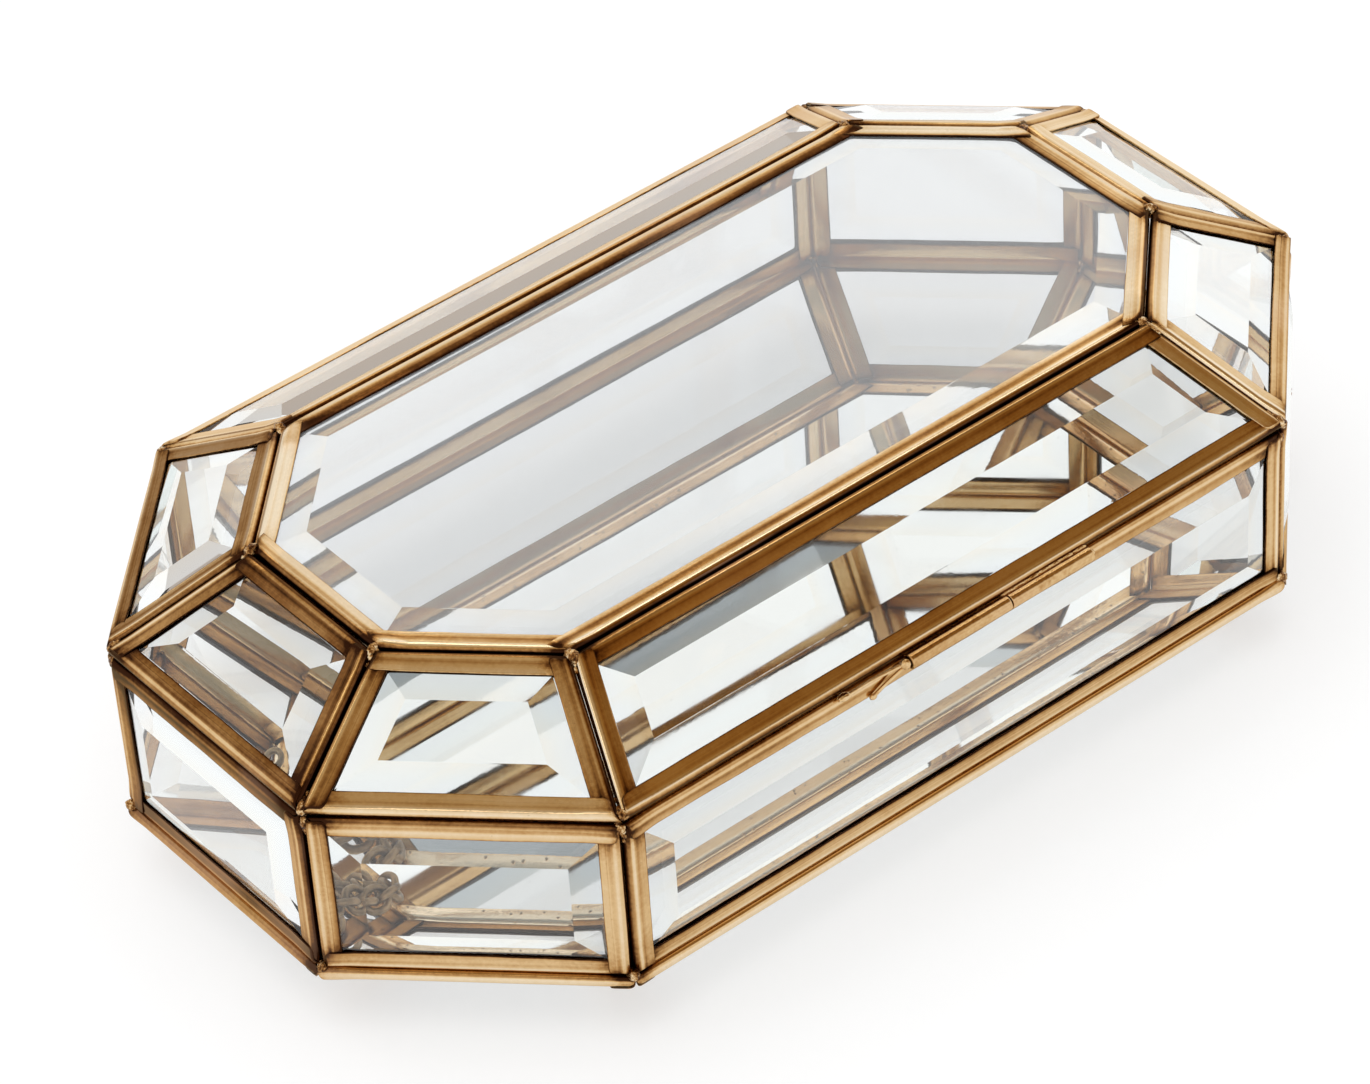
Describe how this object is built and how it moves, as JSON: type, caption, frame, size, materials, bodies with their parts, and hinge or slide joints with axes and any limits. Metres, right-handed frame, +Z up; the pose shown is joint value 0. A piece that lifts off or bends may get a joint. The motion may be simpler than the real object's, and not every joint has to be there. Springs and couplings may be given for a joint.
{
  "type": "jewelry box",
  "caption": "Elongated octagonal jewelry box of bevelled glass panes in folded brass channels, with a mirror floor, a hinged sloping lid and a stay chain.",
  "frame": {"origin": "middle of the box's outline on the surface it rests on", "axes": "+X runs to the right end, +Y to the hinged back and +Z is up, with the lid closed"},
  "size_m": [0.2442, 0.1443, 0.0701],
  "materials": {
    "brass": "antique, lightly tarnished",
    "dark_brass": "dark patina",
    "solder": "patinated solder",
    "clear_glass": "polished, bevelled edges",
    "mirror": "silvered"
  },
  "bodies": {
    "base": {"wall_right_glass": "clear_glass", "wall_right_frame": "brass", "wall_back_right_glass": "clear_glass", "wall_back_right_frame": "brass", "wall_back_glass": "clear_glass", "wall_back_frame": "brass", "wall_back_left_glass": "clear_glass", "wall_back_left_frame": "brass", "wall_left_glass": "clear_glass", "wall_left_frame": "brass", "wall_front_left_glass": "clear_glass", "wall_front_left_frame": "brass", "wall_front_glass": "clear_glass", "wall_front_frame": "brass", "wall_front_right_glass": "clear_glass", "wall_front_right_frame": "brass", "foot_right_glass": "clear_glass", "foot_right_frame": "brass", "foot_back_right_glass": "clear_glass", "foot_back_right_frame": "brass", "foot_back_glass": "clear_glass", "foot_back_frame": "brass", "foot_back_left_glass": "clear_glass", "foot_back_left_frame": "brass", "foot_left_glass": "clear_glass", "foot_left_frame": "brass", "foot_front_left_glass": "clear_glass", "foot_front_left_frame": "brass", "foot_front_glass": "clear_glass", "foot_front_frame": "brass", "foot_front_right_glass": "clear_glass", "foot_front_right_frame": "brass", "base_mirror": "mirror", "base_mirror_frame": "brass", "base_solder": "solder", "wall_hinge_tube": "brass", "hinge_pin": "dark_brass", "wall_chain_eye": "dark_brass", "stay_chain": "dark_brass"},
    "lid": {"lid_top_glass": "clear_glass", "lid_top_frame": "brass", "lid_right_glass": "clear_glass", "lid_right_frame": "brass", "lid_back_right_glass": "clear_glass", "lid_back_right_frame": "brass", "lid_back_glass": "clear_glass", "lid_back_frame": "brass", "lid_back_left_glass": "clear_glass", "lid_back_left_frame": "brass", "lid_left_glass": "clear_glass", "lid_left_frame": "brass", "lid_front_left_glass": "clear_glass", "lid_front_left_frame": "brass", "lid_front_glass": "clear_glass", "lid_front_frame": "brass", "lid_front_right_glass": "clear_glass", "lid_front_right_frame": "brass", "lid_solder": "solder", "lid_hinge_tube": "brass", "lid_chain_eye": "dark_brass"}
  },
  "joints": [
    {"name": "lid_hinge", "type": "hinge", "parent": "base", "child": "lid", "pos_m": [0, 0.07165, 0.05192], "axis": [-1, 0, 0], "range_deg": [0, 105]}
  ]
}
